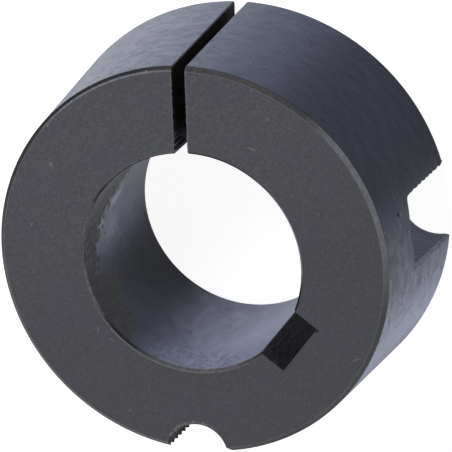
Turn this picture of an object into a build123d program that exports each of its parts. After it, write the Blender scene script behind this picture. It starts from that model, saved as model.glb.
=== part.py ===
from build123d import *
from math import cos, radians, sin, tan
import os

# A split taper bushing: one turned ring whose outside narrows towards the small end, with a
# keyed bore, one saw slit, two blind half-holes for clamp screws and one tapped half-hole for
# the screw that jacks the bushing free. It stands on its large end, with +Z along the bore
# and the keyway on +Y. Sizes are in millimetres and degrees.

# Turned ring
length = 25.4
large_end_diameter = 57.15
taper_half_angle = 4.0
bore_diameter = 30.0
small_rim_chamfer = 0.55
large_rim_chamfer = 0.15
bore_chamfer = 0.3

# Keyway in the bore
keyway_width = 8.0
keyway_depth = 3.3

# Half-holes, drilled parallel to the bore with their centres just inside the large end's rim
hole_inset = 1.5875
clamp_hole_diameter = 10.1
clamp_hole_depth = 14.6
drill_point_angle = 150.0
jack_hole_diameter = 7.94
jack_countersink = 0.2

# Places round the bore, counted anticlockwise from +X as seen from the small end
keyway_angle = 90.0
slit_angle = 217.0
jack_angle = slit_angle - 180
clamp_spread = 95.0
clamp_angles = (jack_angle + clamp_spread, jack_angle - clamp_spread)

# Saw slit through one wall, a little off the axis and a little out of line with it
slit_width = 1.75
slit_offset = 0.47
slit_skew = 1.3

# Worked out from the sizes above
bore_radius = bore_diameter / 2
large_radius = large_end_diameter / 2
small_radius = large_radius - length * tan(radians(taper_half_angle))
hole_circle_radius = large_radius - hole_inset
clamp_hole_radius = clamp_hole_diameter / 2
drill_point_length = clamp_hole_radius / tan(radians(drill_point_angle / 2))
jack_hole_radius = jack_hole_diameter / 2
slit_direction = Vector(cos(radians(slit_angle)), sin(radians(slit_angle)), 0)
slit_side = Vector(0, 0, 1).cross(slit_direction)
slit_centre = slit_side * slit_offset + Vector(0, 0, length / 2)

# The drill that makes a clamp screw's seat: a straight flank and a shallow point
with BuildPart() as clamp_drill:
    with BuildSketch(Plane.XZ):
        with BuildLine():
            Polyline(
                (0, 0),
                (clamp_hole_radius, 0),
                (clamp_hole_radius, clamp_hole_depth),
                (0, clamp_hole_depth + drill_point_length),
                close=True,
            )
        make_face()
    revolve(axis=Axis.Z)

# The jack screw's core drill, flared at both ends by the countersinks
with BuildPart() as jack_drill:
    with BuildSketch(Plane.XZ):
        with BuildLine():
            Polyline(
                (0, 0),
                (jack_hole_radius + jack_countersink, 0),
                (jack_hole_radius, jack_countersink),
                (jack_hole_radius, length - jack_countersink),
                (jack_hole_radius + jack_countersink, length),
                (0, length),
                close=True,
            )
        make_face()
    revolve(axis=Axis.Z)

with BuildPart() as bushing:
    # Ring, turned with its taper and bore in one profile
    with BuildSketch(Plane.XZ):
        with BuildLine():
            Polyline(
                (bore_radius, 0),
                (large_radius, 0),
                (small_radius, length),
                (bore_radius, length),
                close=True,
            )
        make_face()
    revolve(axis=Axis.Z)

    # Edges broken on the lathe
    small_end_edges = bushing.edges().group_by(Axis.Z)[-1].sort_by(SortBy.RADIUS)
    large_end_edges = bushing.edges().group_by(Axis.Z)[0].sort_by(SortBy.RADIUS)
    chamfer(small_end_edges[-1], length=small_rim_chamfer)
    chamfer(large_end_edges[-1], length=large_rim_chamfer)
    chamfer((small_end_edges[0], large_end_edges[0]), length=bore_chamfer)

    # Clamp screw seats, blind from the large end
    for angle in clamp_angles:
        with PolarLocations(hole_circle_radius, 1, start_angle=angle, rotate=False):
            add(clamp_drill.part, mode=Mode.SUBTRACT)

    # Jack screw's half-hole, right through
    with PolarLocations(hole_circle_radius, 1, start_angle=jack_angle, rotate=False):
        add(jack_drill.part, mode=Mode.SUBTRACT)

    # Keyway, broached from the axis out to its floor
    with BuildSketch(Plane.XY):
        with Locations(Rotation(0, 0, keyway_angle)):
            Rectangle(
                bore_radius + keyway_depth, keyway_width, align=(Align.MIN, Align.CENTER)
            )
    extrude(amount=length, mode=Mode.SUBTRACT)

    # Slit, sawn from outside into the bore
    saw_plane = Plane(origin=slit_centre, x_dir=slit_direction, z_dir=(0, 0, 1))
    with BuildSketch(saw_plane.rotated((-slit_skew, 0, 0))):
        Rectangle(large_end_diameter, slit_width, align=(Align.MIN, Align.CENTER))
    extrude(amount=length, both=True, mode=Mode.SUBTRACT)

os.makedirs("parts", exist_ok=True)
bushing.part.label = "taper_bushing"
export_step(bushing.part, "parts/taper_bushing.step")
print("taper_bushing", round(bushing.part.volume), "cubic mm", bushing.part.bounding_box().size)
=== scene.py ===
# %% [markdown]
# A split taper bushing grips a shaft inside the hub of a pulley or a sprocket. It is one ring
# of cast iron: its outside narrows towards one end, a saw slit lets it spring shut, and
# half-holes along its outside take the screws. This lesson builds it as one mesh, gives each
# machined surface its own finish, and sets up a plain studio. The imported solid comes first,
# because everything after it keeps that size and place.

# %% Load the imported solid
import bpy
import bmesh
from math import acos, asin, atan2, cos, degrees, pi, radians, sin, sqrt, tan
from mathutils import Matrix, Vector, noise


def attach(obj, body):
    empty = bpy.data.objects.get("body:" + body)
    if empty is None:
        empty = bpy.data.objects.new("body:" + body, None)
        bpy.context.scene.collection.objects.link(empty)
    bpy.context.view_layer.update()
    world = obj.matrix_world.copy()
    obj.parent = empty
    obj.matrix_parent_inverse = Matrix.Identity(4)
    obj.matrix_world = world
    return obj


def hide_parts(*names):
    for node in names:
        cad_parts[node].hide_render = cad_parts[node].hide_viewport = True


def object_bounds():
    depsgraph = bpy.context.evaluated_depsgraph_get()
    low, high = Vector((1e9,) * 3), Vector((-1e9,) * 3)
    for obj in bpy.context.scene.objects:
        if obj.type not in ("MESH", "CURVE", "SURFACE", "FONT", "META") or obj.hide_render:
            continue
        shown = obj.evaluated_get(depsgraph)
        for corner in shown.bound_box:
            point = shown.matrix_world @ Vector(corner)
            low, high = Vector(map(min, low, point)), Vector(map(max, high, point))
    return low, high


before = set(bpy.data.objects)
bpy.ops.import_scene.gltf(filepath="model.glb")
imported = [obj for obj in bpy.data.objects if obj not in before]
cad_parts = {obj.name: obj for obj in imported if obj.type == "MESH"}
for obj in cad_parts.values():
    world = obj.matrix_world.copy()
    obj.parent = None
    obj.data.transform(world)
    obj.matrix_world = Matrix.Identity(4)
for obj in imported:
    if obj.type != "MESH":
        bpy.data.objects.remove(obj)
solid_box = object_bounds()
print("packed solid, metres:", solid_box)

# %% [markdown]
# The camera stands where the photographer's did. It could be moved by eye until the picture
# matches, but a long lens hides a mistake in distance. So its place, lens and tilt were worked
# out from the circles that the rims draw in the picture. The bushing lies on its large end
# here, so the camera looks down on the small end and is rolled well over.

# %% Place the camera
camera_place = Vector((-0.21862, 0.01966, 0.45073))
camera_tilt = (-19.971, 17.782, 124.915)
camera_data = bpy.data.cameras.new("camera")
camera_data.sensor_width = 36.0
camera_data.lens = 290.52
camera_data.clip_start = 0.01
camera = bpy.data.objects.new("camera", camera_data)
camera.location = camera_place
camera.rotation_euler = [radians(turn) for turn in camera_tilt]
bpy.context.collection.objects.link(camera)
bpy.context.scene.camera = camera
small_face_centre = Vector((0.0, 0.0, solid_box[1][2]))
print("camera to the small face, metres:", round((camera_place - small_face_centre).length, 3))

# %% [markdown]
# These are the turner's sizes, in millimetres: the taper, the bore, and how much is broken off
# each rim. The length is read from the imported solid. Angles are counted anticlockwise from +X,
# seen from the small end. Degrees become radians as they are written, so that no later step has
# to ask which it has.

# %% The turner's sizes
length = round(1000 * float(solid_box[1][2]), 2)
large_radius = 28.575
taper = tan(radians(4.0))
bore_radius = 15.0
small_rim_chamfer = 0.55
large_rim_chamfer = 0.15
bore_chamfer = 0.3
broken_edge = 0.05
print("length", length, "mm, small end", round(2 * (large_radius - length * taper), 2), "mm across")

# %% [markdown]
# A lathe makes the taper and the bore in one chucking, so each is a radius that depends only on
# height. It is written as a short profile with its chamfers. Real corners are never sharp, so
# every bend is rounded a little, and the rims then catch a thin line of light. A bevel modifier
# could do that too, but it would also round the thread and the torn edges that come later.

# %% Turned profiles
bend_steps = 4
rim_bend = 0.1
bore_bend = 0.08


def rounded_profile(corners, bend_radius):
    """Takes (height, radius) corners and rounds each inner bend with a few short steps."""
    points = [corners[0]]
    for before, here, after in zip(corners, corners[1:], corners[2:]):
        middle = Vector(here)
        back = (Vector(before) - middle).normalized()
        ahead = (Vector(after) - middle).normalized()
        reach = bend_radius * tan((pi - back.angle(ahead)) / 2)
        start, end = middle + back * reach, middle + ahead * reach
        for step in range(bend_steps + 1):
            t = step / bend_steps
            bend = start * (1 - t) ** 2 + middle * 2 * t * (1 - t) + end * t ** 2
            points.append((bend.x, bend.y))
    points.append(corners[-1])
    return points


def radius_at(profile, height):
    """Reads a profile's radius at one height."""
    for (z0, r0), (z1, r1) in zip(profile, profile[1:]):
        if height <= z1:
            t = 0 if z1 == z0 else (height - z0) / (z1 - z0)
            return r0 + (r1 - r0) * t
    return profile[-1][1]


taper_profile = rounded_profile([
    (0.0, large_radius - large_rim_chamfer),
    (large_rim_chamfer, large_radius - large_rim_chamfer * taper),
    (length - small_rim_chamfer, large_radius - (length - small_rim_chamfer) * taper),
    (length, large_radius - length * taper - small_rim_chamfer),
], rim_bend)
bore_profile = rounded_profile([
    (0.0, bore_radius + bore_chamfer),
    (bore_chamfer, bore_radius),
    (length - bore_chamfer, bore_radius),
    (length, bore_radius + bore_chamfer),
], bore_bend)
print("radius of the taper at mid height:", round(radius_at(taper_profile, length / 2), 3))

# %% [markdown]
# Three half-holes run along the outside, with their centres close to the taper. Two are plain and
# stop short, because a set screw pushes on their end. The one at 132 degrees is near the camera,
# and the other is hidden behind the bushing. Their drill has a blunt point and left a small round
# in the corner, so the wall is a turned profile as well, about the hole's own axis.

# %% Blind half-holes
hole_circle = 26.9875
clamp_angles = (radians(132.0), radians(-58.0))
clamp_radius = 5.05
clamp_depth = 14.6
clamp_point = clamp_radius * tan(radians(15.0))
clamp_mouth = 0.25
drill_corner = 0.9
clamp_profile = rounded_profile([
    (0.0, clamp_radius),
    (clamp_depth, clamp_radius),
    (clamp_depth + clamp_point, 0.0),
], drill_corner)
print("a blind half-hole ends", round(clamp_depth + clamp_point, 2), "mm from the large end")

# %% [markdown]
# A half-hole meets the taper along two edges. A boolean cut would find them, but it would leave
# long thin triangles there. Here they are the crossing of two circles, worked out at each height.
# The drill also left faint rings on the wall, which are a little noise on the hole's radius. Past
# the end of the hole its points lie on the taper instead, a little way apart, so that every
# section keeps the same number of points.

# %% Where a half-hole meets the taper
drill_ring_depth = 0.03
drill_rings_per_mm = 1.6
least_opening = 0.03
spreading = radians(1.5)
widest_spread = radians(8.0)


def crossing(outer, hole):
    """Half the angle, seen from the axis, between the two edges of a half-hole."""
    cosine = (outer ** 2 + hole_circle ** 2 - hole ** 2) / (2 * outer * hole_circle)
    return acos(min(1.0, cosine))


def clamp_opening(row):
    """A blind half-hole at one height: its radius, and half the angle of its opening."""
    outer = radius_at(taper_profile, row)
    ring = drill_ring_depth * noise.noise(Vector((0.0, 7.7, row * drill_rings_per_mm)))
    hole = radius_at(clamp_profile, row) + ring
    least = max(0.0, outer - hole_circle) + least_opening
    if hole > least:
        return hole, crossing(outer, hole)
    spread = crossing(outer, least) + spreading * (row - clamp_depth - 1.0)
    return None, min(widest_spread, spread)


print("a blind half-hole opens over", round(2 * degrees(clamp_opening(7.0)[1]), 1), "degrees")

# %% [markdown]
# The third half-hole is tapped right through, and a screw in it jacks the bushing out of its
# hub. Its screw is a 3/8 inch one with 16 threads to the inch. A thread is a groove that climbs
# by one pitch a turn. A spiral cutter and a boolean would leave slivers where they cross the taper.
# Here the mesh rows climb with the thread instead, so each crest is one clean line of edges and
# eight rows a pitch are enough. Near both faces the rows level out again.

# %% The tapped half-hole
jack_angle = radians(36.9)
pitch = 25.4 / 16
rows_per_pitch = 8
crest_radius = 4.05
thread_depth = 0.72
crest_share = 0.125
flank_share = 0.3
countersink = 0.06
thread_start = 0.05
level_zone = 0.7
levelling = 2.2


def level_off(height):
    """1 in the middle of the length, falling to 0 near both faces."""
    t = min(1.0, max(0.0, (min(height, length - height) - level_zone) / levelling))
    return t * t * (3 - 2 * t)


def climb(height, turn):
    """How far a row is shifted along the axis at an angle round the screw."""
    return pitch * turn / (2 * pi) * level_off(height)


def thread_radius(height, turn):
    """The groove's radius: flat crests, straight flanks and a narrow root."""
    phase = (height / pitch - turn / (2 * pi) + thread_start) % 1.0
    from_crest = min(phase, 1 - phase)
    groove = min(1.0, max(0.0, (from_crest - crest_share) / flank_share))
    mouth = crest_radius + countersink - min(height, length - height)
    return max(crest_radius + thread_depth * groove, mouth)


print("turns of thread:", round(length / pitch, 1))

# %% [markdown]
# The thread's edge on the taper moves with the groove, so it can't be read off directly. A few
# rounds of guess and correct find the turn at which the groove's own radius meets the taper.

# %% Edges of the thread
first_guess = radians(95)
rounds = 6


def thread_edge(row, side):
    """Where the thread leaves the taper: the turn round the screw, and the angle at the axis."""
    turn = side * first_guess
    for attempt in range(rounds):
        height = row + climb(row, turn)
        outer = radius_at(taper_profile, height)
        half = crossing(outer, thread_radius(height, turn))
        turn = side * atan2(outer * sin(half), hole_circle - outer * cos(half))
    return turn, half


print("the thread spans", round(degrees(2 * thread_edge(12.0, 1)[0])), "degrees of its screw")

# %% [markdown]
# The slit is sawn from the outside into the bore. On this bushing the blade ran a little off
# the axis and a little out of line, and it tore small bits out of the edge at the small face.
# A thin box and a boolean would cut it too, but torn edges need points along the wall. Noise that
# depends on place only, and never on chance, gives the same tears every time.

# %% Slit
slit_angle = radians(217.0)
slit_offset = 0.47
slit_lean = tan(radians(1.3))
slit_width = 1.75
slit_corner = 0.14
slit_along = Vector((cos(slit_angle), sin(slit_angle)))
slit_across = Vector((-slit_along.y, slit_along.x))
wavy_cut = 0.03
fine_tear = 0.02
face_tear = 0.10
tear_zone = 0.7


def lip(height):
    """How far an edge is broken back close to either face."""
    return max(0.0, broken_edge - min(height, length - height))


def torn(place, height, side):
    """How far the saw tore a wall at one spot, most of all next to the small face."""
    coarse = noise.noise(Vector((place * 1.1, height * 1.1, side * 9.0)))
    fine = noise.noise(Vector((place * 2.6, height * 2.6, side * 5.0)))
    near_face = max(0.0, 1 - (length - height) / tear_zone)
    return wavy_cut * coarse + (fine_tear + face_tear * near_face) * fine


def slit_point(radius, height, side, extra=0.0):
    """Where one wall of the slit meets a circle of that radius."""
    middle = slit_offset + (height - length / 2) * slit_lean
    offset = middle + side * (slit_width / 2 + lip(height) + extra)
    along = sqrt(radius ** 2 - offset ** 2)
    return slit_along * along + slit_across * offset


slit_drift = slit_point(bore_radius, length, 1) - slit_point(bore_radius, 0.0, 1)
print("over its length the slit drifts", round(slit_drift.length, 2), "mm sideways")

# %% [markdown]
# The keyway is broached. Its walls are straight and its corners square, but the broach cut a
# little too deep in one corner of the floor and left an ear there. That ear runs the whole
# length, because a broach is pulled right through. So the keyway is one short list of corners
# that hardly changes with height, and it joins the bore in the same closed line.

# %% Keyway
keyway_width = 7.8
keyway_floor = 18.3
keyway_corner = 0.1
ear_width = 0.62
ear_depth = 0.42


def keyway_outline(height, mouth):
    """The keyway's corner points in one section, from one edge of the bore to the other."""
    half = keyway_width / 2 + lip(height)
    floor = keyway_floor + lip(height)
    return [
        (-half, mouth + keyway_corner),
        (-half, floor + ear_depth),
        (-half + 0.5 * ear_width, floor + 0.85 * ear_depth),
        (-half + ear_width, floor),
        (half, floor),
        (half, mouth + keyway_corner),
    ]


print("keyway, mm deep from the bore:", round(keyway_floor - bore_radius, 2))

# %% [markdown]
# A section across the bushing is always the same closed line: round the outside, down one slit
# wall, back round the bore by way of the keyway, and out along the other slit wall. It is made
# of short runs, and each is a small function of height with a fixed number of points. A point
# carries the name of the surface that follows it, which later picks its finish.

# %% Runs along the outside
def steps(start, end, count):
    """Evenly spaced values from start up to, but without, end."""
    return [start + (end - start) * i / count for i in range(count)]


def round_point(radius, angle, height, surface):
    """A point given by its radius and its angle round the bushing's axis."""
    return radius * cos(angle), radius * sin(angle), height, surface


def taper_run(row, start, end, count, shift_start=0.0, shift_end=0.0):
    """A stretch of the taper. Next to the thread its rows are shifted to meet the crests."""
    run = []
    for t in steps(0.0, 1.0, count):
        shift = shift_start * max(0.0, 1 - 4 * t) ** 2 + shift_end * max(0.0, 4 * t - 3) ** 2
        height = row + shift
        run.append(round_point(radius_at(taper_profile, height), start + (end - start) * t, height, "taper"))
    return run


def screw_point(middle, hole, turn):
    """A point on a half-hole's wall, counted from the side that is nearest to the axis."""
    x, y = hole_circle - hole * cos(turn), hole * sin(turn)
    return x * cos(middle) - y * sin(middle), x * sin(middle) + y * cos(middle)


print("first point of the taper:", [round(v, 2) for v in taper_run(5.0, 0.0, 1.0, 4)[0][:3]])

# %% [markdown]
# The edges of the blind half-holes were broken by hand. On the near one the file took a clear
# band off the edge that is the lower one in the photograph, and the cutter left the upper one a
# little serrated. A bevel would make every edge alike, so each break is worked out with the
# section. It is one narrow facet, a little way in on the taper and a little way down the wall,
# and it fades out where the hole ends.

# %% Broken edges of the blind half-holes
bite_depth = 0.30
bite_share = 0.6
bite_wander = 0.45
bite_reach = 1.2
ragged_edge = 0.06
worn_tip = 0.15
tip_reach = 1.2
break_end = clamp_depth + 0.6
break_fade = 1.2
plain_break = 0.12
serrated_break = (0.10, 0.08)
filed_break = (0.22, 0.48)
filed_widening = 0.024


def bite(row, middle):
    """How far the cutter's bites and the worn tip widen the near half-hole at its upper edge."""
    if middle != clamp_angles[0] or row > clamp_depth:
        return 0.0
    phase = (row / pitch + bite_wander * noise.noise(Vector((row * 0.45, 3.0, 0.0)))) % 1.0
    tooth = bite_depth * max(0.0, 1 - phase / bite_share) * min(1.0, (clamp_depth - row) / 5)
    ragged = ragged_edge * noise.noise(Vector((row * 2.2, 7.0, 0.0)))
    return max(0.0, tooth + ragged) + worn_tip * max(0.0, 1 - row / tip_reach) ** 2


def edge_break(row, middle, side):
    """How far an edge of a blind half-hole is broken, on the taper and on its wall."""
    strength = min(1.0, max(0.1, (break_end - row) / break_fade))
    if middle == clamp_angles[0] and side < 0:
        return filed_break[0] * strength, (filed_break[1] + filed_widening * row) * strength
    if side > 0:
        on_taper = serrated_break[0] + 1.15 * bite(row, middle)
        return on_taper * strength, serrated_break[1] * strength
    return plain_break * strength, plain_break * strength


filed_ways = edge_break(0.0, clamp_angles[0], -1)
print("filed band, mm in on the taper and down the wall:", *(round(way, 2) for way in filed_ways))

# %% [markdown]
# The walls of the half-holes come next. A blind one is a run round its own axis, with a small
# countersink where it opens into the large face. Above its end the same number of points lies on
# the plain taper instead. In the tapped one every point takes its own height and radius from the
# thread.

# %% Walls of the half-holes
blind_points = 24
thread_points = 44


def blind_half_hole(row, middle, count):
    """The wall of a blind half-hole, or the taper where the hole has ended."""
    outer = radius_at(taper_profile, row)
    hole, half = clamp_opening(row)
    if hole is None:
        angles = steps(middle - half, middle + half, count)
        return [round_point(outer, angle, row, "taper") for angle in angles]
    edge = atan2(outer * sin(half), hole_circle - outer * cos(half))
    first = -edge + edge_break(row, middle, -1)[1] / hole
    last = edge - edge_break(row, middle, 1)[1] / hole
    surface = "seat" if row >= clamp_depth else "drilled"
    run = []
    for turn in steps(first, last, count - 1) + [last]:
        mouth = max(0.0, clamp_mouth - row) * cos(turn) ** 2
        mouth += bite(row, middle) * max(0.0, 1 - (last - turn) * hole / bite_reach) ** 2
        run.append((*screw_point(middle, hole + mouth, turn), row, "edge" if turn == last else surface))
    return run


def filed_edge(row, angle):
    """Where the band begins that a file took off the near half-hole's lower edge."""
    surface = "filed" if row < break_end else "taper"
    return [round_point(radius_at(taper_profile, row), angle, row, surface)]


def tapped_half_hole(row, count):
    """The threaded wall, whose points climb with the thread."""
    run = []
    for turn in steps(thread_edge(row, -1)[0], thread_edge(row, 1)[0], count):
        height = row + climb(row, turn)
        x, y = screw_point(jack_angle, thread_radius(height, turn), turn)
        run.append((x, y, height, "thread"))
    return run


wall = blind_half_hole(7.0, clamp_angles[0], blind_points)
print("a wall point at mid depth:", [round(v, 2) for v in wall[blind_points // 2][:3]])

# %% [markdown]
# Now the outside of a section can be put together. It starts at one lip of the slit and goes
# round to the other, past the hidden blind half-hole, the tapped one and the near blind one. Each
# run ends where the next begins, so nothing has to be merged afterwards.

# %% Outside of one section
slit_to_hole_points = 36
hole_to_thread_points = 40


def outside(row):
    """The outside of one section, from the slit's far lip round to its near lip."""
    outer = radius_at(taper_profile, row)
    near, far = clamp_angles
    half = clamp_opening(row)[1]
    (turn_in, half_in), (turn_out, half_out) = thread_edge(row, -1), thread_edge(row, 1)
    start, end = slit_point(outer, row, 1, slit_corner), slit_point(outer, row, -1, slit_corner)
    start_angle, end_angle = atan2(start.y, start.x), atan2(end.y, end.x) + 2 * pi

    def edge(middle, side):
        return middle + side * (half + edge_break(row, middle, side)[0] / outer)

    runs = [
        taper_run(row, start_angle, edge(far, -1), slit_to_hole_points),
        blind_half_hole(row, far, blind_points),
        taper_run(row, edge(far, 1), jack_angle - half_in, hole_to_thread_points, 0.0, climb(row, turn_in)),
        tapped_half_hole(row, thread_points),
        taper_run(row, jack_angle + half_out, edge(near, -1), hole_to_thread_points, climb(row, turn_out)),
        filed_edge(row, edge(near, -1)),
        blind_half_hole(row, near, blind_points),
        taper_run(row, edge(near, 1), end_angle, slit_to_hole_points),
    ]
    return [point for run in runs for point in run]


print("points along the outside:", len(outside(length / 2)))

# %% [markdown]
# The inside is written in the same way. Both slit walls are drawn from the taper to the bore,
# with a small broken corner at each end, and one of them is then turned round. The keyway gets a
# few points along each side of its outline, moved a little by noise, because a broached wall is
# never quite flat.

# %% Walls of the slit and the keyway
slit_wall_points = 40
keyway_side_points = (7, 2, 2, 12, 6)
broach_marks = 0.02


def slit_wall(row, side, count):
    """One wall of the slit, from its lip on the taper to its lip in the bore."""
    outer, inner = radius_at(taper_profile, row), radius_at(bore_profile, row)
    start = slit_point(outer - slit_corner, row, side)
    end = slit_point(inner + keyway_corner, row, side)
    run = [(*slit_point(outer, row, side, slit_corner), row, "edge")]
    for t in steps(0.0, 1.0, count):
        strength = min(1.0, 8 * t, 8 * (1 - t))
        point = start.lerp(end, t) + slit_across * torn(t * 12, row, side) * strength
        run.append((point.x, point.y, row, "sawn"))
    run.append((end.x, end.y, row, "edge"))
    run.append((*slit_point(inner, row, side, keyway_corner), row, "bore"))
    return run


def keyway_run(row, mouth):
    """The keyway, with a few points along each side of its outline."""
    corners = keyway_outline(row, mouth)
    run = []
    for (x0, y0), (x1, y1), count in zip(corners, corners[1:], keyway_side_points):
        for t in steps(0.0, 1.0, count):
            x, y = x0 + (x1 - x0) * t, y0 + (y1 - y0) * t
            rough = broach_marks * noise.noise(Vector((x, y, row)) * 1.7)
            run.append((x + rough, y + rough, row, "keyway"))
    run.append((*corners[-1], row, "edge"))
    return run


print("points on a slit wall:", len(slit_wall(length / 2, 1, slit_wall_points)))

# %% [markdown]
# Old grease dulls part of the bore towards its small end. Clean coat has a gloss and a sheen that
# the grease lacks. An exported model keeps both only as single numbers, so no mask can fade them.
# The film is therefore a finish of its own, on the faces past a ragged line. The line is a list of
# places, each an angle in degrees and a height, with noise on top.

# %% Where the old grease lies
film_line = [(245.0, 9.0), (270.0, 10.5), (284.0, 13.0), (292.0, 17.0), (306.0, 18.5), (320.0, 21.0),
             (332.0, 17.0), (345.0, 18.5), (356.0, 22.0), (365.0, 27.0)]
film_fringe = 3.2


def film_edge(angle):
    """The height above which old grease dulls the bore."""
    azimuth = degrees(angle) % 360
    if azimuth < film_line[0][0]:
        return 2 * length
    spans = zip(film_line, film_line[1:])
    (left, low), (right, high) = next(span for span in spans if azimuth <= span[1][0])
    level = low + (high - low) * (azimuth - left) / (right - left)
    place = Vector((bore_radius * cos(angle), bore_radius * sin(angle), 0.0))
    return level + 1.6 * noise.noise(place * 0.5) + 1.0 * noise.noise(place * 1.6)


def bore_run(row, start, end, count):
    """A stretch of the bore, drawn clockwise."""
    inner = radius_at(bore_profile, row)
    run = []
    for angle in steps(start, end, count):
        place = Vector((inner * cos(angle), inner * sin(angle), 0.7 * row))
        dull = row > film_edge(angle) + film_fringe * noise.noise(place * 1.5)
        run.append(round_point(inner, angle, row, "film" if dull else "bore"))
    return run


print("the film starts", round(film_edge(radians(300)), 1), "mm up at 300 degrees")

# %% [markdown]
# The outside and the inside are joined into one closed line. The bore is drawn in two stretches,
# one each side of the keyway. The longer one has more points, so the ragged edge of the film
# comes out fine.

# %% One whole section
left_bore_points = 52
right_bore_points = 150


def flipped(run):
    """The same run walked the other way, with each surface kept on its own stretch."""
    points = run[::-1]
    surfaces = [p[3] for p in run[:-1]][::-1] + [run[-1][3]]
    return [(x, y, z, s) for (x, y, z, _), s in zip(points, surfaces)]


def section(row):
    """The closed outline at one row: a list of (x, y, height, surface)."""
    inner = radius_at(bore_profile, row)
    key_turn = asin((keyway_width / 2 + lip(row) + keyway_corner) / inner)
    mouth = inner * cos(key_turn)
    down, back = slit_wall(row, -1, slit_wall_points), slit_wall(row, 1, slit_wall_points)
    here, there = down[-1], back[-1]
    left = bore_run(row, atan2(here[1], here[0]) + 2 * pi, pi / 2 + key_turn, left_bore_points)
    right = bore_run(row, pi / 2 - key_turn, atan2(there[1], there[0]), right_bore_points)
    corner = [(-inner * sin(key_turn), mouth, row, "edge")]
    inside = down[:-1] + left + corner + keyway_run(row, mouth) + right + flipped(back)[:-1]
    return outside(row) + inside


print("points in a section:", len(section(length / 2)))

# %% [markdown]
# Rows of points are stacked from the large end to the small end. They lie close together where
# something happens, at the rims and where the drill stopped, and an eighth of a pitch apart over
# the rest, so that they draw the thread. Even rows would have to be as close as that everywhere.

# %% Heights of the rows
rim_rows = 7
point_rows = 10
rim_break = 0.02
least_row_gap = 0.012
rows = [z for z, r in taper_profile] + [z for z, r in bore_profile] + [z for z, r in clamp_profile[:-1]]
rows += [rim_break, broken_edge, length - broken_edge, length - rim_break]
rows += steps(clamp_depth, clamp_depth + clamp_point, point_rows)
thread_rows = round((length - 2 * level_zone) / (pitch / rows_per_pitch))
rows += steps(level_zone, length - level_zone, thread_rows)
rows += steps(0.0, level_zone, rim_rows) + steps(length - level_zone, length, rim_rows) + [length]
heights = []
for z in sorted(rows):
    if not heights or z - heights[-1] > least_row_gap:
        heights.append(z)
heights[-1] = length
print("rows:", len(heights))

# %% [markdown]
# Each face takes the finish of the point that it starts from. Picking faces by hand would do for
# one mesh, but this one is worked out anew on each run. The chamfers at both ends are the
# exception. They belong to the edges, whatever surface they border, because they are rubbed
# where the rest isn't.

# %% Which surface a face belongs to
surfaces = ["taper", "faced", "bore", "keyway", "sawn", "drilled", "seat", "thread", "edge", "filed", "film"]


def surface_of(point, height):
    """The surface that a face at this height belongs to."""
    depth = min(height, length - height)
    rim_chamfer = small_rim_chamfer if height > length / 2 else large_rim_chamfer
    if point[3] == "taper" and depth < rim_chamfer - 0.03:
        return "edge"
    if point[3] in ("bore", "film") and depth < bore_chamfer - 0.02:
        return "edge"
    return point[3]


print("surfaces:", len(surfaces))

# %% [markdown]
# Neighbouring sections are joined by four-sided faces, and each end is closed by one flat face.
# The mesh is one closed skin, like the casting itself. BMesh is used because it hands back each
# face as it is made, so the face can be given its surface at once.

# %% Sections to faces
sections = [section(z) for z in heights]
ring_points = len(sections[0])
work = bmesh.new()
rings = [[work.verts.new((x * 0.001, y * 0.001, z * 0.001)) for x, y, z, s in line] for line in sections]
for k in range(len(rings) - 1):
    low, high = rings[k], rings[k + 1]
    middle = (heights[k] + heights[k + 1]) / 2
    for i in range(ring_points):
        j = (i + 1) % ring_points
        face = work.faces.new((low[i], low[j], high[j], high[i]))
        face.material_index = surfaces.index(surface_of(sections[k][i], middle))
for ring in (list(reversed(rings[0])), rings[-1]):
    end_face = work.faces.new(ring)
    end_face.material_index = surfaces.index("faced")
work.normal_update()
print("corners:", len(work.verts), "faces:", len(work.faces))

# %% [markdown]
# The walls are shaded smooth, or their facets would show, and the two end faces stay flat. Edges
# that bend by more than 32 degrees are marked sharp, so that corners and thread crests stay crisp.
# That step comes first, because it turns every face smooth. An Edge Split modifier would give the
# same look, but it would cut the skin open along those edges.

# %% Faces to an object
sharp_angle = radians(32)
bushing_mesh = bpy.data.meshes.new("bushing")
work.to_mesh(bushing_mesh)
work.free()
bushing_mesh.set_sharp_from_angle(angle=sharp_angle)
for polygon in bushing_mesh.polygons:
    polygon.use_smooth = len(polygon.vertices) == 4
bushing = bpy.data.objects.new("bushing", bushing_mesh)
bpy.context.collection.objects.link(bushing)
print("smooth faces:", sum(polygon.use_smooth for polygon in bushing_mesh.polygons))

# %% [markdown]
# The whole bushing has one chemical finish. It is phosphated, a thin dark crystal layer that
# holds oil. It looks different on each surface because the metal under it was cut differently,
# and because hands, hubs and shafts have rubbed it. An image texture would need unwrapping, and
# would blur up close, so every finish here is worked out from the place on the metal. A node tree
# is easier to read as short sums. This class keeps a material under construction and adds nodes
# to it, in millimetres from the bushing's own origin.

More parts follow.
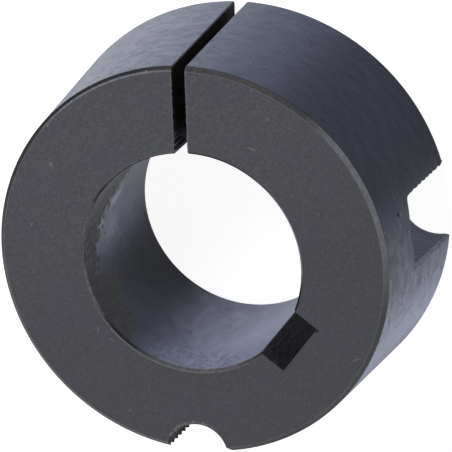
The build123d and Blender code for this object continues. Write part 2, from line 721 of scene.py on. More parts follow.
# %% A finish under construction
class Finish:
    """A material whose node tree is written as sums of places, numbers and colours."""

    def __init__(self, name):
        self.material = bpy.data.materials.new(name)
        self.material.use_nodes = True
        self.tree = self.material.node_tree
        self.shader = self.tree.nodes["Principled BSDF"]
        own_place = self.tree.nodes.new("ShaderNodeTexCoord").outputs["Object"]
        self.place = self.vector("SCALE", own_place, scale=1000.0)
        self.x, self.y, self.z = self.split(self.place)
        self.radius = self.vector("LENGTH", self.join(self.x, self.y, 0.0))

    def plug(self, socket, value):
        """Feeds a socket from another node, or with a plain number or colour."""
        if isinstance(value, bpy.types.NodeSocket):
            self.tree.links.new(value, socket)
        elif isinstance(value, tuple) and socket.type == "RGBA":
            socket.default_value = (*value, 1.0)
        else:
            socket.default_value = value

    def sum(self, operation, *values):
        """Adds one step of arithmetic on numbers."""
        node = self.tree.nodes.new("ShaderNodeMath")
        node.operation = operation
        for socket, value in zip(node.inputs, values):
            self.plug(socket, value)
        return node.outputs[0]

    def vector(self, operation, *values, scale=1.0):
        """Adds one step of arithmetic on places."""
        node = self.tree.nodes.new("ShaderNodeVectorMath")
        node.operation = operation
        for socket, value in zip(node.inputs, values):
            self.plug(socket, value)
        if operation == "SCALE":
            node.inputs["Scale"].default_value = scale
        return node.outputs["Value" if operation == "LENGTH" else "Vector"]

    def split(self, vector):
        """Takes a place apart into its three numbers."""
        node = self.tree.nodes.new("ShaderNodeSeparateXYZ")
        self.plug(node.inputs[0], vector)
        return node.outputs

    def join(self, x, y, z):
        """Puts three numbers together as a place."""
        node = self.tree.nodes.new("ShaderNodeCombineXYZ")
        for socket, value in zip(node.inputs, (x, y, z)):
            self.plug(socket, value)
        return node.outputs[0]


def try_out(title, helper):
    """Prints how many nodes a helper adds, on a finish that is then thrown away."""
    trial = Finish("trial")
    before = len(trial.tree.nodes)
    helper(trial)
    print(title, "adds", len(trial.tree.nodes) - before, "nodes")
    bpy.data.materials.remove(trial.material)


try_out("one sum", lambda f: f.sum("ADD", f.x, 1.0))

# %% [markdown]
# A few verbs cover nearly every finish. Fade turns a number into a soft step and blend mixes two
# values. Product keeps only what all its masks share, and strongest keeps what any of them has.

# %% Verbs for masks
def fade(finish, value, start, end):
    """0 at start and 1 at end, with a soft step between them."""
    node = finish.tree.nodes.new("ShaderNodeMapRange")
    node.interpolation_type = "SMOOTHSTEP"
    for name, number in (("Value", value), ("From Min", start), ("From Max", end)):
        finish.plug(node.inputs[name], number)
    return node.outputs["Result"]


def blend(finish, factor, low, high):
    """Mixes two colours or two numbers."""
    node = finish.tree.nodes.new("ShaderNodeMix")
    colour = isinstance(low, tuple) or getattr(low, "type", "") == "RGBA"
    node.data_type = "RGBA" if colour else "FLOAT"
    first = 6 if colour else 2  # where the colour sockets and the number sockets of this node start
    finish.plug(node.inputs[0], factor)
    finish.plug(node.inputs[first], low)
    finish.plug(node.inputs[first + 1], high)
    return node.outputs[2 if colour else 0]


def product(finish, first, *others):
    """What all the masks share."""
    for other in others:
        first = finish.sum("MULTIPLY", first, other)
    return first


def strongest(finish, first, *others):
    """What any of the masks has."""
    for other in others:
        first = finish.sum("MAXIMUM", first, other)
    return first


try_out("a soft step times a half", lambda f: product(f, fade(f, f.z, 0.0, 1.0), 0.5))

# %% [markdown]
# Two kinds of randomness do the rest. Cloud is smooth noise that can be stretched, and it makes
# grain, mottling and smears. Specks are small scattered spots, and each sits in a cell of its own,
# so how big they are and how many there are can be chosen one by one. Both read the place in
# space, so no seam shows.

# %% Clouds and specks
def noise_place(finish, stretch, shift):
    """The place on the metal, stretched, and shifted so that two noises don't look alike."""
    return finish.vector("MULTIPLY_ADD", finish.place, stretch, (shift, 2 * shift, 3 * shift))


def cloud(finish, stretch, detail=3.0, shift=0.0):
    """Smooth noise between 0 and 1. Stretch is how often it changes per millimetre."""
    node = finish.tree.nodes.new("ShaderNodeTexNoise")
    finish.plug(node.inputs["Vector"], noise_place(finish, stretch, shift))
    node.inputs["Scale"].default_value = 1.0
    node.inputs["Detail"].default_value = detail
    return fade(finish, node.outputs["Fac"], 0.3, 0.7)


def specks(finish, stretch, size, share, shift=0.0):
    """Scattered spots: size is a spot's share of its cell, and share is how many cells have one."""
    node = finish.tree.nodes.new("ShaderNodeTexVoronoi")
    finish.plug(node.inputs["Vector"], noise_place(finish, stretch, shift))
    node.inputs["Scale"].default_value = 1.0
    spot = fade(finish, node.outputs["Distance"], size, 0.4 * size)
    chosen = fade(finish, finish.split(node.outputs["Color"])[0], 1.0 - share, 1.01 - share)
    return product(finish, spot, chosen)


try_out("a cloud", lambda f: cloud(f, (1.0, 1.0, 1.0)))
try_out("a field of specks", lambda f: specks(f, (1.0, 1.0, 1.0), 0.2, 0.5))

# %% [markdown]
# Wear and stains sit where something touched the metal, so they need a place. Towards marks one
# direction round the axis, from the cosine of the angle to it, which has no seam either. A mark is
# a single ragged spot or scratch at a known point, stretched along a known line.

# %% Places on the ring
def towards(finish, azimuth, reach):
    """1 towards one side of the axis, fading to 0 at reach degrees from it."""
    turn = radians(azimuth)
    outward = finish.sum("ADD", product(finish, finish.x, cos(turn)), product(finish, finish.y, sin(turn)))
    cosine = finish.sum("DIVIDE", outward, finish.radius)
    return fade(finish, cosine, cos(radians(reach)), cos(radians(0.3 * reach)))


def mark(finish, ragged, centre, along, out, reach):
    """One spot. Reach is its half-length along a line, its half-width and its half-depth."""
    node = finish.tree.nodes.new("ShaderNodeMapping")
    node.vector_type = "TEXTURE"
    across = Vector(out).cross(Vector(along)).normalized()
    up = Vector(along).normalized().cross(across)
    turn = Matrix((Vector(along).normalized(), across, up)).transposed()
    finish.plug(node.inputs["Vector"], finish.place)
    node.inputs["Location"].default_value = centre
    node.inputs["Rotation"].default_value = turn.to_euler()
    node.inputs["Scale"].default_value = reach
    distance = finish.sum("ADD", finish.vector("LENGTH", node.outputs[0]), product(finish, ragged, 0.6))
    return fade(finish, distance, 1.4, 0.7)


def wall_mark(finish, ragged, profile, azimuth, height, reach, lean=0.0):
    """A mark on the taper or in the bore, by its angle round the axis. It leans from upright."""
    turn = radians(azimuth)
    outer = radius_at(profile, height)
    round_about = Vector((-sin(turn), cos(turn), 0.0))
    along = Vector((0.0, 0.0, cos(radians(lean)))) + round_about * sin(radians(lean))
    centre = (outer * cos(turn), outer * sin(turn), height)
    return mark(finish, ragged, centre, along, (cos(turn), sin(turn), 0.0), reach)


try_out("one side", lambda f: towards(f, 90, 30))
try_out("one mark", lambda f: wall_mark(f, 0.5, taper_profile, 90, 12.0, (1.0, 1.0, 1.0)))

# %% [markdown]
# Bumps are kept in millimetres, so that a scratch is as deep as a scratch is. The coat sets the
# shader's own values. The crystals reflect little head on and more at a slant, and rubbed oil
# gives the slant a bluish cast, which is what sheen does on cloth, so the same sheen serves here.
# Where the coat is rubbed through, the iron itself shines, and there the shader turns metallic. A
# pale colour would do that head on, but at a slant only the reflection shows.

# %% Bumps and the coat
sheen_roughness = 0.4
oil_blue = (0.62, 0.71, 1.0, 1.0)


def relief(finish, height, depth):
    """Raises or sinks the surface. The last relief goes on top of the earlier ones."""
    node = finish.tree.nodes.new("ShaderNodeBump")
    node.inputs["Strength"].default_value = 1.0
    node.inputs["Distance"].default_value = depth * 0.001
    finish.plug(node.inputs["Height"], height)
    below = finish.shader.inputs["Normal"]
    if below.is_linked:
        finish.tree.links.new(below.links[0].from_socket, node.inputs["Normal"])
    finish.tree.links.new(node.outputs[0], below)


def coat(finish, colour, roughness, ior, sheen=0.0, bare=0.0):
    """Sets the shader's own values. Bare says where the coat is rubbed down to the metal."""
    finish.plug(finish.shader.inputs["Base Color"], colour)
    finish.plug(finish.shader.inputs["Roughness"], roughness)
    finish.plug(finish.shader.inputs["Metallic"], bare)
    finish.shader.inputs["IOR"].default_value = ior
    finish.shader.inputs["Sheen Weight"].default_value = sheen
    finish.shader.inputs["Sheen Roughness"].default_value = sheen_roughness
    finish.shader.inputs["Sheen Tint"].default_value = oil_blue
    print(finish.material.name, "has", len(finish.tree.nodes), "nodes")
    return finish.material


try_out("a bump", lambda f: relief(f, f.z, 0.01))

# %% [markdown]
# The small face was faced on the lathe and phosphated, and it is the plainest surface: an even,
# matte, dark grey with a fine grain and faint bluish patches. A few scratches stand out in the
# photograph. Noise would never put them in the right places, so they are listed one by one, each
# with its place, direction, half-length and half-width.

# %% Scratches on the small face
face_scratches = [
    (-18.4, -2.65, 110, 0.75, 0.11), (-19.4, 6.5, 178, 0.50, 0.10), (-17.0, 9.15, 101, 0.35, 0.12),
    (-19.8, 5.2, 60, 0.20, 0.14), (-23.0, -3.4, 30, 0.30, 0.22), (-24.8, -7.3, 0, 0.20, 0.16),
    (-23.6, -9.4, 45, 0.60, 0.07), (1.6, -22.5, 80, 0.60, 0.28), (10.3, -19.9, 0, 0.17, 0.15),
    (16.4, -4.5, 39, 0.75, 0.08), (16.4, -2.1, 80, 0.35, 0.14), (23.0, 5.5, 0, 0.18, 0.14),
    (-4.1, 24.9, 150, 0.60, 0.08), (-2.6, -25.9, 10, 0.45, 0.16),
]


def face_marks(f, ragged):
    """All the listed scratches as one mask. They lie on the small face only."""
    spots = []
    for x, y, turn, half_length, half_width in face_scratches:
        along = (cos(radians(turn)), sin(radians(turn)), 0.0)
        spots.append(mark(f, ragged, (x, y, length), along, (0, 0, 1), (half_length, half_width, 1.0)))
    return strongest(f, *spots)


print("scratches on the small face:", len(face_scratches))

# %% [markdown]
# Other rubs follow the shape. Round the mouth of the tapped half-hole a screw head or a tap has
# left a ragged pale arc. The rims of the face are rubbed too, and so are the lips of the slit.
# Painting them by hand would need an image. A distance finds them as well: from the screw's axis,
# from the bushing's axis, and from the middle of the slit.

# %% Rubs that follow an edge
def jack_arc(f, ragged):
    """A ragged arc close round the mouth of the tapped half-hole."""
    x = f.sum("SUBTRACT", f.x, hole_circle * cos(jack_angle))
    y = f.sum("SUBTRACT", f.y, hole_circle * sin(jack_angle))
    from_screw = f.vector("LENGTH", f.join(x, y, 0.0))
    from_line = f.sum("ABSOLUTE", f.sum("SUBTRACT", from_screw, crest_radius + 0.32))
    return product(f, fade(f, from_line, 0.30, 0.08), fade(f, ragged, 0.25, 0.65), towards(f, 32, 14), 0.75)


def rubbed_rims(f, ragged):
    """The outer rim all round, and one side of the bore's rim."""
    outer_rim = fade(f, f.radius, 26.12, 26.22)
    bore_rim = product(f, fade(f, f.radius, 15.62, 15.42), towards(f, 20, 60))
    return product(f, strongest(f, outer_rim, bore_rim), blend(f, ragged, 0.3, 0.8))


def slit_lips(f, ragged):
    """Both lips of the slit, as they lie on the small face."""
    across = f.sum("ADD", product(f, f.x, slit_across.x), product(f, f.y, slit_across.y))
    middle = slit_offset + length / 2 * slit_lean
    from_middle = f.sum("ABSOLUTE", f.sum("SUBTRACT", across, middle))
    lips = fade(f, from_middle, slit_width / 2 + 0.25, slit_width / 2 + 0.08)
    return product(f, lips, towards(f, degrees(slit_angle), 8), blend(f, ragged, 0.2, 0.9))


try_out("the slit's lips", lambda f: slit_lips(f, 0.5))

# %% [markdown]
# The face's colour is built up in the order in which it came about: grain from the coat, then
# patches where the coat took unevenly, then tiny pale flecks from handling, and the rubs last.
# One half of the face is painted a little lighter than the other, which is painted light.

# %% The faced ends
bare_grey = (0.24, 0.24, 0.26)


def faced_finish():
    f = Finish("faced")
    grain = cloud(f, (3.6, 3.6, 3.6), 4.0)
    blotch = cloud(f, (1.1, 1.1, 1.1), 3.0, shift=8.0)
    patch = cloud(f, (0.16, 0.16, 0.16), 3.0, shift=4.0)
    ragged = cloud(f, (2.4, 2.4, 2.4), 3.0, shift=2.0)
    # Painted light: the half towards 238 degrees is given a lighter colour.
    painted_light_half = towards(f, 238, 110)
    low = blend(f, painted_light_half, (0.045, 0.0465, 0.053), (0.050, 0.0517, 0.059))
    high = blend(f, painted_light_half, (0.066, 0.068, 0.078), (0.086, 0.0885, 0.100))
    colour = blend(f, grain, low, high)
    colour = blend(f, product(f, blotch, 0.3), colour, low)
    colour = blend(f, product(f, patch, 0.35), colour, (0.057, 0.058, 0.076))
    flecks = strongest(f, specks(f, (1.5, 1.5, 1.5), 0.15, 0.5), specks(f, (0.9, 4.5, 1.0), 0.18, 0.2, 5.0),
                       specks(f, (4.5, 0.9, 1.0), 0.18, 0.2, 9.0))
    colour = blend(f, product(f, flecks, 0.32), colour, (0.26, 0.26, 0.28))
    scratches = product(f, face_marks(f, ragged), blend(f, grain, 0.2, 1.0))
    rubbed = strongest(f, scratches, jack_arc(f, ragged), rubbed_rims(f, ragged), slit_lips(f, ragged))
    colour = blend(f, product(f, rubbed, 0.62), colour, bare_grey)
    relief(f, grain, 0.008)
    return coat(f, colour, blend(f, blotch, 0.48, 0.60), ior=1.35)


finishes = {"faced": faced_finish()}

# %% [markdown]
# Hubs are slid over the taper, so it wears the most. Its two flanks are worn, one more than the
# other. There the coat is thin in cloudy patches a millimetre or two across, with a few paler
# scuffs and scattered dark pits. The flanks' pale colour and bare metal are partly wear and partly
# painted highlight. One noise all round would be shorter, but a bushing never wears
# evenly. Each kind of wear is a mask of its own, so it can change colour, shine and roughness.

# %% Wear and painted highlight on the taper
flank_scuffs = [(250.5, 20.0, (5.0, 1.5, 1.0), 6.0, 1.0), (104.0, 12.0, (6.0, 2.2, 1.0), -8.0, 0.8),
                (111.0, 5.0, (4.0, 1.2, 1.0), -5.0, 0.8)]


def flank_wear_and_highlight(f):
    """The two flanks that hubs have rubbed, the second less than the first; their pale colour is partly
    painted highlight.
    """
    return strongest(f, product(f, towards(f, 256, 56), 0.98), product(f, towards(f, 101, 49), 0.75))


def taper_scuffs(f, ragged, fine):
    """Pale scuffs: each has its angle, height, size, lean and strength."""
    scuffs = [product(f, wall_mark(f, ragged, taper_profile, azimuth, height, reach, lean), strength)
              for azimuth, height, reach, lean, strength in flank_scuffs]
    return product(f, strongest(f, *scuffs), blend(f, fine, 0.3, 0.9))


def taper_pits(f):
    """Scattered dark pits of two sizes on the flanks."""
    pits = strongest(f, specks(f, (1.2, 1.2, 1.0), 0.26, 0.34), specks(f, (0.9, 0.9, 0.9), 0.16, 0.34, 4.0))
    flanks = strongest(f, towards(f, 205, 26), towards(f, 110, 26), product(f, towards(f, 240, 26), 0.5))
    return product(f, pits, flanks)


try_out("pits", taper_pits)

# %% [markdown]
# A few marks on the taper can be told apart in the photograph. One deep nick above the near
# half-hole has bright edges, and a row of dark dashes runs along that hole's filed edge.
# They are placed one by one, by angle and height. Pale dots that can't be told apart are specks.

# %% Marks on the taper
filed_side = 121.2
dark_dashes = [(2.2, 0.8), (4.9, 1.0), (8.0, 0.9), (11.4, 1.3)]
bright_marks = [(139.9, 18.1, 0.18, 0.42), (137.7, 18.9, 0.24, 0.22), (139.2, 24.3, 0.30, 0.30),
                (145.2, 18.5, 0.16, 0.32), (104.5, 9.0, 0.35, 0.30)]


def taper_nick(f, ragged):
    """The deep nick, and the dashes, each with its height and half-length."""
    marks = [wall_mark(f, ragged, taper_profile, 140.5, 18.9, (0.38, 0.50, 0.5))]
    for height, half_length in dark_dashes:
        dash = wall_mark(f, ragged, taper_profile, filed_side, height, (half_length, 0.11, 0.5))
        marks.append(product(f, dash, 0.7))
    return strongest(f, *marks)


def taper_bright(f, ragged):
    """The bright marks, each with its angle, height, half-length and half-width, and the dots."""
    marks = [wall_mark(f, ragged, taper_profile, azimuth, height, (half_length, half_width, 0.5))
             for azimuth, height, half_length, half_width in bright_marks]
    faint_dots = product(f, specks(f, (1.1, 1.1, 1.1), 0.12, 0.16, 7.0), 0.35)
    flank_dots = product(f, specks(f, (0.9, 0.9, 0.7), 0.14, 0.45, 9.0), towards(f, 108, 24))
    return strongest(f, *marks, faint_dots, flank_dots)


print("marks placed by hand on the taper:", len(flank_scuffs) + 1 + len(dark_dashes) + len(bright_marks))

# %% [markdown]
# The taper's coat is satin and blue-grey. Between the near half-hole and the slit it is unworn,
# and its colour there is darkened to nearly black, which is painted shade. The masks above are laid
# over it in turn. A very low IOR keeps the coat dark at a slant, and the worn patches get their
# light from the bare metal and from their paler colour, which is partly painted highlight.

# %% The taper
def taper_finish():
    f = Finish("taper")
    mottle = cloud(f, (0.34, 0.34, 0.28), 5.0)
    fine = cloud(f, (1.5, 1.5, 0.9), 4.0, shift=3.0)
    ragged = cloud(f, (2.4, 2.4, 2.4), 3.0, shift=2.0)
    smear = fade(f, cloud(f, (0.55, 0.55, 0.80), 6.0, shift=6.0), 0.15, 0.95)
    dapple = cloud(f, (0.32, 0.32, 0.40), 3.0, shift=11.0)
    worn, scuffs, pits = flank_wear_and_highlight(f), taper_scuffs(f, ragged, fine), taper_pits(f)
    nick, bright = taper_nick(f, ragged), taper_bright(f, ragged)

    colour = blend(f, mottle, (0.044, 0.046, 0.064), (0.066, 0.070, 0.096))
    colour = blend(f, product(f, fine, 0.4), colour, (0.080, 0.084, 0.116))
    # Painted shade: between the near half-hole and the slit the colour is darkened to nearly black.
    colour = blend(f, product(f, towards(f, 168, 31), 0.85), colour, (0.009, 0.009, 0.012))
    # Partly wear, partly painted highlight: the flanks are painted paler and bluer in smears.
    colour = blend(f, product(f, blend(f, smear, 0.54, 0.71), worn), colour, (0.145, 0.151, 0.185))
    colour = blend(f, product(f, scuffs, 0.8), colour, (0.22, 0.225, 0.26))
    colour = blend(f, product(f, pits, 0.8), colour, (0.003, 0.003, 0.004))
    colour = blend(f, product(f, bright, 0.8), colour, (0.30, 0.30, 0.32))
    colour = blend(f, nick, colour, (0.003, 0.003, 0.003))

    # The bare metal on the flanks is partly wear and partly painted highlight.
    bare = strongest(f, product(f, scuffs, 0.8), product(f, worn, blend(f, smear, 0.42, 0.78)))
    bare = product(f, bare, blend(f, pits, 1.0, 0.1))
    sunk = strongest(f, pits, nick)
    relief(f, dapple, 0.025)
    relief(f, fine, 0.008)
    relief(f, sunk, -0.015)
    return coat(f, colour, blend(f, sunk, 0.26, 0.8), ior=1.07, sheen=0.83, bare=bare)


finishes["taper"] = taper_finish()

# %% [markdown]
# The bore was bored smooth, and shafts have rubbed two sides of it bluish and half bare. Their pale
# blue is partly wear and partly painted highlight. Dirt clings to it in smudges, more so near the
# small end, and three pale rubs show where a shaft was pushed in. As on the taper, each is a mask first.

# %% Wear in the bore
bore_rubs = [(291, 13.5, (3.6, 1.1, 1.0), 20.0, 1.0), (300, 18.4, (0.9, 0.8, 1.0), 0.0, 1.0),
             (306, 14.0, (3.2, 2.2, 1.0), 0.0, 0.5)]


def pale_rubs(f, fine):
    """Each rub has its angle, height, size, lean and strength."""
    return strongest(f, *(product(f, wall_mark(f, fine, bore_profile, azimuth, height, reach, lean), strength)
                          for azimuth, height, reach, lean, strength in bore_rubs))


def rim_dirt(f, fine):
    """A dull zone near the small end, on the side of the tapped half-hole."""
    return product(f, fade(f, f.z, 17.0, 21.0), fade(f, fine, 0.35, 0.8), towards(f, 20, 75), 0.45)


def smudges(f, fine):
    """Blotches of dirt a millimetre or two across."""
    return product(f, specks(f, (0.42, 0.42, 0.36), 0.30, 0.40, 2.0), fade(f, fine, 0.2, 0.8), 0.7)


def bare_bore(f, streak, pale):
    """Where the bore is rubbed down to the metal, least of all near the small end."""
    far_side = product(f, towards(f, 54, 66), fade(f, f.z, 24.0, 8.0))
    near_side = product(f, towards(f, 284, 40), 0.6)
    return product(f, strongest(f, far_side, near_side, pale), blend(f, streak, 0.42, 0.50))


try_out("pale rubs", lambda f: pale_rubs(f, 0.5))

# %% [markdown]
# Between its two rubbed sides the bore's colour is nearly black, which is painted shade. A smooth,
# glossy coat with full sheen gives it the soft blue gleam that it has in the photograph.

# %% The bore
def bore_finish():
    f = Finish("bore")
    mottle = cloud(f, (0.40, 0.40, 0.26), 5.0)
    fine = cloud(f, (1.6, 1.6, 1.0), 4.0, shift=3.0)
    streak = fade(f, cloud(f, (0.7, 0.7, 0.35), 5.0, shift=7.0), 0.4, 1.0)
    rubbed = strongest(f, towards(f, 62, 66), towards(f, 288, 44))
    dull, pale = rim_dirt(f, fine), pale_rubs(f, fine)

    # Painted shade: the base colour is nearly black between the rubbed sides.
    colour = blend(f, mottle, (0.004, 0.004, 0.009), (0.012, 0.014, 0.028))
    # Partly wear, partly painted highlight: the two rubbed sides are painted pale blue, with paler streaks.
    colour = blend(f, product(f, rubbed, blend(f, mottle, 0.8, 1.0)), colour, (0.22, 0.234, 0.325))
    colour = blend(f, product(f, streak, rubbed, 0.35), colour, (0.30, 0.31, 0.41))
    colour = blend(f, strongest(f, dull, smudges(f, fine)), colour, (0.020, 0.020, 0.022))
    colour = blend(f, product(f, pale, 0.8), colour, (0.46, 0.47, 0.60))

    relief(f, cloud(f, (0.32, 0.32, 0.22), 3.0, shift=11.0), 0.02)
    relief(f, fine, 0.005)
    return coat(f, colour, blend(f, dull, 0.28, 0.5), ior=1.16, sheen=1.0, bare=bare_bore(f, streak, pale))


finishes["bore"] = bore_finish()

# %% [markdown]
# The film of old grease is dull and brown-grey, with paler crumbs where it has dried. Away from
# the slit its colour is darkened, which is painted shade. It has hardly any sheen, which is what sets it off
# from the clean bore.

# %% The film of old grease
def film_finish():
    f = Finish("film")
    mottle = cloud(f, (0.55, 0.55, 0.4), 5.0)
    fine = cloud(f, (1.8, 1.8, 1.1), 4.0, shift=3.0)
    colour = blend(f, mottle, (0.022, 0.022, 0.022), (0.085, 0.083, 0.083))
    colour = blend(f, fade(f, fine, 0.55, 0.95), colour, (0.13, 0.13, 0.14))
    # Painted shade: the film is darkened towards 345 degrees.
    colour = blend(f, product(f, towards(f, 345, 34), 0.65), colour, (0.010, 0.010, 0.011))
    relief(f, fine, 0.015)
    return coat(f, colour, roughness=0.5, ior=1.3, sheen=0.2)


finishes["film"] = film_finish()

# %% [markdown]
# The keyway and the half-holes were cut with coarse tools and never rubbed. One recipe serves
# them all: a plain colour broken up by noise, which is stretched the way the tool moved. The
# broach ran along the axis, and the drill and the tap ran round their own hole. The drilled walls
# keep a pale bluish gloss, and the file left a bright band, because it took the coat off. Each cut
# could have its own node tree, but they would hardly differ.

# %% Rough cuts
def cut_finish(name, colour, roughness, stretch, depth, ior, sheen=0.0):
    """A coarse cut. Stretch says how often its noise changes per millimetre each way."""
    f = Finish(name)
    rough = cloud(f, stretch, 4.0)
    shade = blend(f, rough, tuple(0.6 * c for c in colour), tuple(1.4 * c for c in colour))
    relief(f, rough, depth)
    return coat(f, shade, roughness, ior, sheen)


for name, *recipe in (
        ("keyway", (0.040, 0.041, 0.051), 0.7, (3.0, 3.0, 0.5), 0.06, 1.25),
        ("drilled", (0.148, 0.154, 0.230), 0.45, (0.3, 0.3, 2.4), 0.01, 1.25, 0.6),
        ("seat", (0.035, 0.036, 0.044), 0.45, (1.5, 1.5, 1.5), 0.02, 1.35),
        ("thread", (0.022, 0.022, 0.026), 0.5, (0.6, 0.6, 3.0), 0.02, 1.3),
        ("filed", (0.34, 0.36, 0.50), 0.4, (1.6, 1.6, 0.8), 0.01, 1.35, 0.8)):
    finishes[name] = cut_finish(name, *recipe)

# %% [markdown]
# The slit is nearly black, because little light gets in, and its walls are painted nearly black as
# painted shade. Where they come out into the bore, shafts have rubbed pale stripes across them. At
# the large end, the outer corner is painted a little lighter, which is painted light. Those two places
# need more than the plain recipe.

# %% The sawn walls
def sawn_finish():
    f = Finish("sawn")
    rough = cloud(f, (1.0, 1.0, 3.0), 4.0)
    stripe = fade(f, cloud(f, (3.5, 3.5, 0.35), 3.0, shift=5.0), 0.35, 0.75)
    near_bore = product(f, fade(f, f.radius, 19.0, 15.5), stripe)
    bore_lip = fade(f, f.radius, bore_radius + 0.45, bore_radius + 0.2)
    far_end_painted_light = product(f, fade(f, f.z, 4.5, 1.0), fade(f, f.radius, 23.0, 27.0))
    # Painted shade: the walls are nearly black.
    colour = blend(f, rough, (0.005, 0.005, 0.006), (0.020, 0.020, 0.022))
    colour = blend(f, near_bore, colour, (0.34, 0.34, 0.36))
    colour = blend(f, bore_lip, colour, (0.40, 0.40, 0.42))
    # Painted light: the outer corner at the large end is lighter.
    colour = blend(f, far_end_painted_light, colour, (0.16, 0.16, 0.17))
    relief(f, rough, 0.05)
    return coat(f, colour, roughness=0.8, ior=1.15)


finishes["sawn"] = sawn_finish()

# %% [markdown]
# Broken edges and chamfers are where the coat wears off first. The outer chamfer is dull and dark.
# It is painted a little lighter on two sides, which is painted light, and almost black on a third,
# which is painted shade. It has a rubbed line next to the face, a pale band on one side, which is a
# painted highlight, and a few bright chips. The bore's small chamfer is painted nearly black on one
# half, which is painted shade, and rubbed brighter on the two sides where shafts touch it. Blender
# can find edges by how much they bend, but it would rub them all alike, so these rubs go by place.

# %% Rubs and a painted highlight on the edges
def outer_rubs_and_highlight(f, ragged):
    """The line next to the face, the chips and the pale band on the outer chamfer, the band being a painted
    highlight.
    """
    line = product(f, fade(f, f.z, 25.15, 25.36), towards(f, 243, 30), blend(f, ragged, 0.5, 1.0))
    chips = product(f, specks(f, (1.2, 1.2, 1.2), 0.25, 0.35), towards(f, 222, 30))
    # Painted highlight: the pale band on the side towards 148 degrees.
    band = product(f, fade(f, f.z, 24.6, 24.8), towards(f, 148, 34), blend(f, ragged, 0.7, 1.0))
    return strongest(f, line, chips, band)


def bore_rim_rubs(f, ragged):
    """The two sides of the bore's chamfer that shafts touch."""
    touched = strongest(f, towards(f, 308, 42), product(f, towards(f, 38, 38), 0.5))
    return product(f, fade(f, f.radius, 18.0, 17.0), touched, blend(f, ragged, 0.35, 0.8))


try_out("rubs on the outer chamfer", lambda f: outer_rubs_and_highlight(f, 0.5))

# %% [markdown]
# Every edge of the bushing shares one material, so its colour first asks how far from the axis it
# is. A material for each chamfer would work too, but they share their noise and their gloss. The
# outer chamfer's painted light and shade come first, the bore's painted shade comes next, and the rubs
# and the painted highlight lie over both.

# %% Worn edges with painted light and shade
def edge_finish():
    f = Finish("edge")
    worn = cloud(f, (0.5, 0.5, 0.5), 4.0)
    ragged = cloud(f, (2.0, 2.0, 2.0), 3.0, shift=2.0)
    outer = fade(f, f.radius, 25.0, 26.0)
    inner = fade(f, f.radius, 18.0, 17.0)
    colour = blend(f, worn, (0.018, 0.018, 0.021), (0.036, 0.036, 0.041))
    # Painted light on the outer chamfer towards 190 and 101 degrees, painted shade towards 276 degrees.
    colour = blend(f, product(f, outer, towards(f, 190, 38), blend(f, ragged, 0.5, 1.0)), colour,
                   (0.082, 0.083, 0.088))
    colour = blend(f, product(f, outer, towards(f, 101, 38)), colour, (0.104, 0.106, 0.114))
    colour = blend(f, product(f, outer, towards(f, 276, 42), 0.85), colour, (0.004, 0.004, 0.005))
    # Painted shade: one half of the bore's chamfer is nearly black.
    colour = blend(f, product(f, inner, towards(f, 155, 105)), colour, (0.003, 0.003, 0.003))
    colour = blend(f, product(f, outer_rubs_and_highlight(f, ragged), 0.85), colour, (0.30, 0.306, 0.345))
    colour = blend(f, product(f, bore_rim_rubs(f, ragged), 0.8), colour, (0.36, 0.36, 0.39))
    relief(f, worn, 0.01)
    return coat(f, colour, roughness=0.33, ior=1.22)


finishes["edge"] = edge_finish()

# %% [markdown]
# The mesh numbers its faces by the list of surfaces, so the finishes go into its slots in the
# same order. Each surface could be an object of its own, but the bushing would then be eleven
# loose skins. One mesh with eleven slots stays one piece, as the real bushing is.

# %% Finishes onto the mesh
for name in surfaces:
    bushing_mesh.materials.append(finishes[name])
print("finishes on the mesh:", len(bushing_mesh.materials))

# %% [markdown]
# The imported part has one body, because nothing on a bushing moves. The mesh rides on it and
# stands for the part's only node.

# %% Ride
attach(bushing, "root")
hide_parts("taper_bushing")
print(bushing.name, "rides on root")

# %% [markdown]
# In the photograph the bushing stands on plain white. The floor here is one pale matt sheet, which
# keeps the bushing's shadow. White light on it would also wash out the dark metal, so the whiteness
# is added only where something looks at the floor. A ray from the camera, or one that bounced off a
# gloss or went through glass, finds the sheet glowing a little. Ordinary light doesn't.

# %% Glow that only some rays see
glossy_rays = ("Is Glossy Ray", "Is Transmission Ray")


def glow_for(tree, plain, by_gloss, by_camera):
    """A strength with one value in ordinary light and others in reflections and to the camera."""
    rays = tree.nodes.new("ShaderNodeLightPath")
    strength = tree.nodes.new("ShaderNodeValue").outputs[0]
    strength.default_value = plain
    for ray, value in [(name, by_gloss) for name in glossy_rays] + [("Is Camera Ray", by_camera)]:
        choice = tree.nodes.new("ShaderNodeMix")
        tree.links.new(rays.outputs[ray], choice.inputs[0])
        tree.links.new(strength, choice.inputs[2])
        choice.inputs[3].default_value = value
        strength = choice.outputs[0]
    print("glow: plain", plain, "gloss", by_gloss, "camera", by_camera)
    return strength


print("rays that count as glossy:", *glossy_rays)

# %% [markdown]
# The sheet is four metres wide, so its edge stays out of every picture. A curved backdrop would
# do as well, but the camera looks down so steeply that it sees only the floor. The sheet stands
# for the table and not for a piece of the object.

# %% The floor
half_sheet = 2.0
paper_grey = (0.45, 0.45, 0.45, 1)
floor_mesh = bpy.data.meshes.new("floor")
corners = [(x * half_sheet, y * half_sheet, 0) for x, y in ((-1, -1), (1, -1), (1, 1), (-1, 1))]
floor_mesh.from_pydata(corners, [], [(0, 1, 2, 3)])
floor = bpy.data.objects.new("floor", floor_mesh)
bpy.context.collection.objects.link(floor)

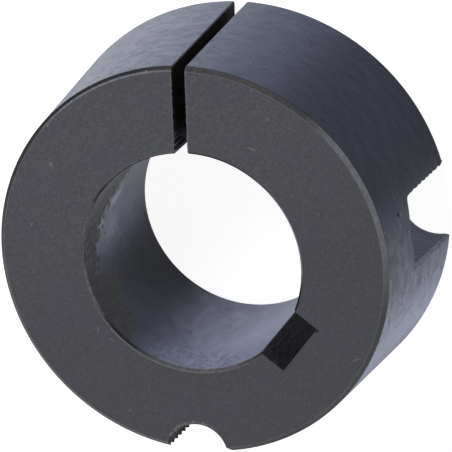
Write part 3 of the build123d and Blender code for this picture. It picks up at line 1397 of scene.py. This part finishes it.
paper = bpy.data.materials.new("paper")
paper.use_nodes = True
matt = paper.node_tree.nodes["Principled BSDF"]
matt.inputs["Base Color"].default_value = paper_grey
matt.inputs["Roughness"].default_value = 1.0
matt.inputs["Specular IOR Level"].default_value = 0.0
matt.inputs["Emission Color"].default_value = (1, 1, 1, 1)
floor_glow = glow_for(paper.node_tree, plain=0.0, by_gloss=0.75, by_camera=0.92)
paper.node_tree.links.new(floor_glow, matt.inputs["Emission Strength"])
floor_mesh.materials.append(paper)

# %% [markdown]
# The world fills the shadows very gently with plain white. Reflections see it brighter, as they
# would see the walls of a white studio tent. A real tent of planes round the bushing would do that
# too, but it would stand in the way of the lamps. Standard view keeps the colours as written.

# %% The world
world = bpy.data.worlds.new("studio")
bpy.context.scene.world = world
world.use_nodes = True
background = world.node_tree.nodes["Background"]
background.inputs["Color"].default_value = (1, 1, 1, 1)
sky_glow = glow_for(world.node_tree, plain=0.05, by_gloss=0.7, by_camera=1.0)
world.node_tree.links.new(sky_glow, background.inputs["Strength"])
bpy.context.scene.view_settings.view_transform = "Standard"

# %% [markdown]
# Dark metal shows its shape mostly by its highlights, so the lamps stand round it at the sides.
# All five are soft disks, 0.6 m away. The two strongest, at 30 and at 275 degrees, light one worn
# flank each. One at 238 degrees shines down into the bore. A weak one, high up at the back, evens
# out the small face, and a low one at 126 degrees lights the chamfer's pale band and the other
# side of the bore. A ring of lamps would be simpler, but the bushing would lose its dark side.

# %% Lamps
lamp_distance = 0.6
lamp_width = 0.25
lamp_target = Vector((0, 0, 0.012))


def lamp(name, azimuth, elevation, watts):
    """A round soft lamp that faces the bushing, from an angle round the axis and a height in degrees."""
    data = bpy.data.lights.new(name, "AREA")
    data.shape = "DISK"
    data.size = lamp_width
    data.energy = watts
    turn, rise = radians(azimuth), radians(elevation)
    way = Vector((cos(turn) * cos(rise), sin(turn) * cos(rise), sin(rise)))
    lamp_object = bpy.data.objects.new(name, data)
    lamp_object.location = lamp_target + way * lamp_distance
    lamp_object.rotation_euler = way.to_track_quat("Z", "Y").to_euler()
    bpy.context.collection.objects.link(lamp_object)
    return lamp_object


lamps = [
    lamp("key", 30, 20, 1.45),
    lamp("side", 275, 40, 2.0),
    lamp("left", 238, 47, 0.95),
    lamp("back", 335, 65, 0.12),
    lamp("fill", 126, 26, 0.6),
]
print("lamps:", len(lamps), "with", round(sum(each.data.energy for each in lamps), 2), "watts in all")
